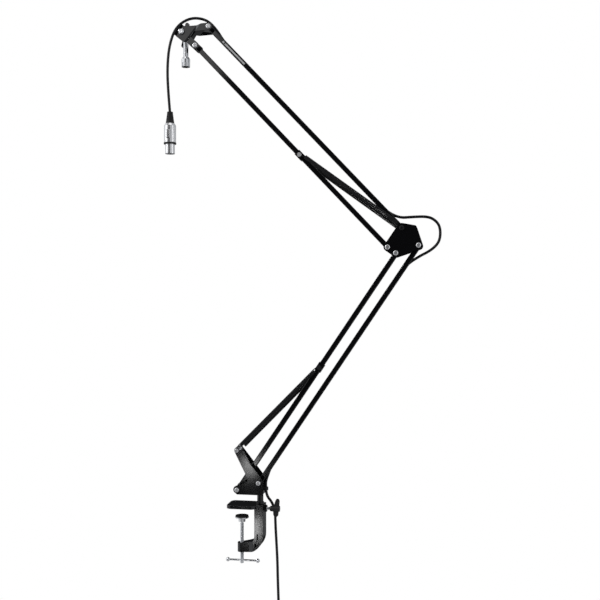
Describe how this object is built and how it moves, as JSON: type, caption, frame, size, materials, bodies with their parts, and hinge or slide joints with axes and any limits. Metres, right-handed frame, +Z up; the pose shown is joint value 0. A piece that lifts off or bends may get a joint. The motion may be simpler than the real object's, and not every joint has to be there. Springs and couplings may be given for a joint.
{
  "type": "microphone boom arm",
  "caption": "Desk-clamp boom arm with two sprung parallelogram arms of square tube, a swivel base, a tilting microphone post and its own cable with connectors.",
  "frame": {"origin": "centre of the upper jaw's clamping face, on the clamp screw's axis, in the plane of the desk top", "axes": "+X towards the elbow along the desk, +Y into the depth behind the arm, +Z up; the arm lies in the plane y = 0 at rest"},
  "size_m": [0.4442, 0.0432, 1.1098],
  "materials": {
    "black_paint": "satin",
    "cast_black": "satin",
    "chrome": "polished",
    "steel": "satin",
    "spring_black": "gloss",
    "knob_plastic": "matt",
    "rubber": "matt",
    "cable_pvc": "matt",
    "insert_plastic": "satin"
  },
  "bodies": {
    "clamp": {"clamp_frame": "cast_black", "cable_tail": "cable_pvc", "cable_hank": "cable_pvc", "hank_tie": "knob_plastic", "male_shell": "chrome", "male_insert": "insert_plastic"},
    "pad": {"pressure_pad": "steel", "pad_face": "rubber"},
    "screw": {"clamp_screw": "chrome"},
    "tommy": {"tommy_bar": "chrome"},
    "lock_stud": {"knob_stud": "chrome"},
    "lock_wing": {"knob_wing": "knob_plastic"},
    "base": {"base_plate_front": "black_paint", "base_plate_rear": "black_paint", "base_block": "black_paint", "swivel_pin": "chrome", "base_bolt_right": "steel", "base_bolt_left": "steel", "base_spring_pin": "chrome", "cable_clip": "rubber"},
    "lower_right": {"lower_tube_right": "black_paint", "cable_elbow_lower": "cable_pvc", "cable_base": "cable_pvc"},
    "lower_left": {"lower_tube_left": "black_paint", "lower_saddle": "black_paint", "lower_anchor_pin": "steel"},
    "lower_spring_swing": {"lower_spring_front": "spring_black", "lower_spring_rear": "spring_black"},
    "lower_spring_stretch": {"lower_hook_front": "spring_black", "lower_hook_rear": "spring_black"},
    "elbow": {"elbow_plate_front": "black_paint", "elbow_plate_rear": "black_paint", "elbow_bolt_a": "steel", "elbow_bolt_b": "steel", "elbow_bolt_c": "steel", "elbow_bolt_d": "steel"},
    "upper_top": {"upper_tube_top": "black_paint", "cable_elbow_upper": "cable_pvc"},
    "upper_bottom": {"upper_tube_bottom": "black_paint", "upper_saddle": "black_paint", "upper_anchor_pin": "steel"},
    "upper_spring_swing": {"upper_spring_front": "spring_black", "upper_spring_rear": "spring_black"},
    "upper_spring_stretch": {"upper_hook_front": "spring_black", "upper_hook_rear": "spring_black"},
    "head": {"head_plate_front": "black_paint", "head_plate_rear": "black_paint", "head_bolt_top": "steel", "head_bolt_bottom": "steel", "tilt_bolt": "chrome", "cable_head": "cable_pvc", "female_boot": "rubber", "female_shell": "chrome", "female_insert": "insert_plastic"},
    "nut_washer": {"tilt_washer": "steel"},
    "nut": {"wing_nut": "black_paint"},
    "post": {"mic_post": "chrome", "coupler": "chrome"},
    "latch": {"latch_button": "steel"}
  },
  "joints": [
    {"name": "pad_travel", "type": "slide", "parent": "clamp", "child": "pad", "axis": [0, 0, 1], "range_m": [-0.031, 0.0105]},
    {"name": "screw_turn", "type": "hinge", "parent": "pad", "child": "screw", "pos_m": [0, 0, -0.06], "axis": [0, 0, 1], "range_deg": [-11160.5, 3780.5]},
    {"name": "tommy_slide", "type": "slide", "parent": "screw", "child": "tommy", "axis": [1, 0, 0], "range_m": [-0.019, 0.016]},
    {"name": "lock_travel", "type": "slide", "parent": "clamp", "child": "lock_stud", "axis": [1, 0, 0], "range_m": [0, 0.003]},
    {"name": "lock_turn", "type": "hinge", "parent": "lock_stud", "child": "lock_wing", "pos_m": [0.056, 0, -0.0013], "axis": [1, 0, 0], "range_deg": [-0.5, 1080.5]},
    {"name": "base_swivel", "type": "hinge", "parent": "clamp", "child": "base", "pos_m": [0.0301, 0, 0.01], "axis": [0, 0, 1], "range_deg": [-170, 170], "deforming": ["cable_tail"]},
    {"name": "lower_arm", "type": "hinge", "parent": "base", "child": "lower_right", "pos_m": [0.0301, 0, 0.0414], "axis": [0, 1, 0], "range_deg": [-20, 20], "deforming": ["cable_base"]},
    {"name": "lower_link", "type": "hinge", "parent": "base", "child": "lower_left", "pos_m": [-0.0049, 0, 0.0297], "axis": [0, 1, 0], "range_deg": [-20, 20]},
    {"name": "elbow_level", "type": "hinge", "parent": "lower_right", "child": "elbow", "pos_m": [0.2822, 0, 0.41657], "axis": [0, 1, 0], "range_deg": [-20, 20], "deforming": ["cable_elbow_lower"]},
    {"name": "upper_arm", "type": "hinge", "parent": "elbow", "child": "upper_top", "pos_m": [0.2565, 0, 0.44347], "axis": [0, 1, 0], "range_deg": [-25, 25], "deforming": ["cable_elbow_upper"]},
    {"name": "upper_link", "type": "hinge", "parent": "elbow", "child": "upper_bottom", "pos_m": [0.2345, 0, 0.41397], "axis": [0, 1, 0], "range_deg": [-25, 25]},
    {"name": "head_level", "type": "hinge", "parent": "upper_top", "child": "head", "pos_m": [-0.05239, 0, 0.77125], "axis": [0, 1, 0], "range_deg": [-25, 25], "deforming": ["cable_head"]},
    {"name": "post_tilt", "type": "hinge", "parent": "head", "child": "post", "pos_m": [-0.09949, 0, 0.76745], "axis": [0, 1, 0], "range_deg": [-16, 90]},
    {"name": "nut_travel", "type": "slide", "parent": "head", "child": "nut_washer", "axis": [0, 1, 0], "range_m": [0, 0.0015]},
    {"name": "nut_turn", "type": "hinge", "parent": "nut_washer", "child": "nut", "pos_m": [-0.09949, 0.01, 0.76745], "axis": [0, -1, 0], "range_deg": [-0.5, 540.5]},
    {"name": "latch_press", "type": "slide", "parent": "head", "child": "latch", "axis": [0, 1, 0], "range_m": [0, 0.0018], "stiffness_N_per_m": 400},
    {"name": "lower_spring_turn", "type": "hinge", "parent": "base", "child": "lower_spring_swing", "pos_m": [-0.00856, 0, 0.08251], "axis": [0, 1, 0], "range_deg": [-23.9, 23.9]},
    {"name": "lower_spring_pull", "type": "slide", "parent": "lower_spring_swing", "child": "lower_spring_stretch", "axis": [0.7035, 0, 0.7107], "range_m": [-0.01332, 0.01332], "deforming": ["lower_spring_front", "lower_spring_rear", "lower_hook_front", "lower_hook_rear"]},
    {"name": "upper_spring_turn", "type": "hinge", "parent": "elbow", "child": "upper_spring_swing", "pos_m": [0.254, 0, 0.43744], "axis": [0, 1, 0], "range_deg": [-25.28, 25.28]},
    {"name": "upper_spring_pull", "type": "slide", "parent": "upper_spring_swing", "child": "upper_spring_stretch", "axis": [-0.8064, 0, 0.5914], "range_m": [-0.01328, 0.01328], "deforming": ["upper_spring_front", "upper_spring_rear", "upper_hook_front", "upper_hook_rear"]}
  ],
  "couplings": [
    {"joint": "screw_turn", "follows": "pad_travel", "rad_per_m": 6283.2},
    {"joint": "lock_turn", "follows": "lock_travel", "rad_per_m": 6283.2},
    {"joint": "nut_turn", "follows": "nut_travel", "rad_per_m": 6283.2},
    {"joint": "lower_link", "follows": "lower_arm", "ratio": 1},
    {"joint": "elbow_level", "follows": "lower_arm", "ratio": -1},
    {"joint": "upper_link", "follows": "upper_arm", "ratio": 1},
    {"joint": "head_level", "follows": "upper_arm", "ratio": -1},
    {"joint": "lower_spring_turn", "follows": "lower_arm", "ratio": 1.1702},
    {"joint": "lower_spring_pull", "follows": "lower_arm", "m_per_rad": 0.0373},
    {"joint": "upper_spring_turn", "follows": "upper_arm", "ratio": 0.9911},
    {"joint": "upper_spring_pull", "follows": "upper_arm", "m_per_rad": -0.029739}
  ]
}
